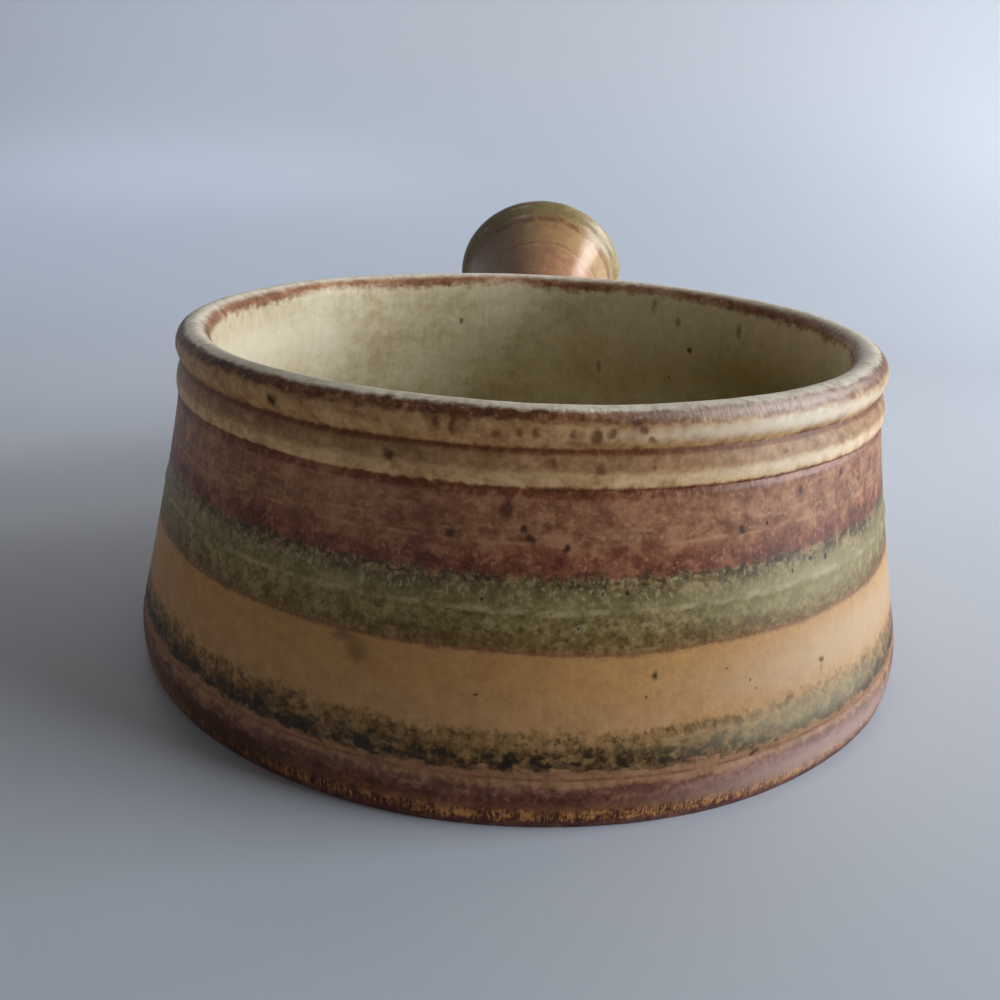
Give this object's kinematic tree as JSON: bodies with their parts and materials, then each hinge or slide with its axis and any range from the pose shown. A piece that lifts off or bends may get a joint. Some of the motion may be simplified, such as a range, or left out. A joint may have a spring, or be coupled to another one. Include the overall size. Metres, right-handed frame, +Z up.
{
  "type": "handled bowl",
  "caption": "Hand-thrown stoneware soup bowl with flared banded wall, rolled rim, flat base and a hollow trumpet handle luted to its side.",
  "frame": {"origin": "centre of the flat base, on the surface that the bowl stands on", "axes": "+Z up through the mouth of the bowl, +Y level and outwards under the handle, which rises away from the wall"},
  "size_m": [0.1428, 0.2011, 0.0701],
  "materials": {
    "bare_clay": "bare fired stoneware, iron-toasted red brown, slightly gritty",
    "luting_slip": "bare fired slip, fine and matt",
    "liner_glaze": "satin cream glaze with faint runs and iron specks",
    "rim_glaze": "satin cream glaze that breaks brown on edges, with iron spots",
    "brown_glaze": "satin red-brown iron glaze with tan flecks",
    "green_glaze": "mottled sage green glaze with pinholes and a pale ridge",
    "buff_glaze": "smooth satin buff glaze with few specks",
    "olive_glaze": "streaky dark olive glaze with feathered edge",
    "foot_glaze": "mauve-brown satin glaze that ends in a golden line above the bare edge",
    "handle_glaze": "satin tan glaze, brown under the lip, with throwing lines"
  },
  "bodies": {
    "root": {"bowl_body": "bare_clay", "handle": "bare_clay", "luting_slip": "luting_slip", "liner_glaze": "liner_glaze", "rim_glaze": "rim_glaze", "brown_band_glaze": "brown_glaze", "green_band_glaze": "green_glaze", "buff_band_glaze": "buff_glaze", "olive_band_glaze": "olive_glaze", "foot_band_glaze": "foot_glaze", "handle_glaze": "handle_glaze"}
  },
  "joints": []
}
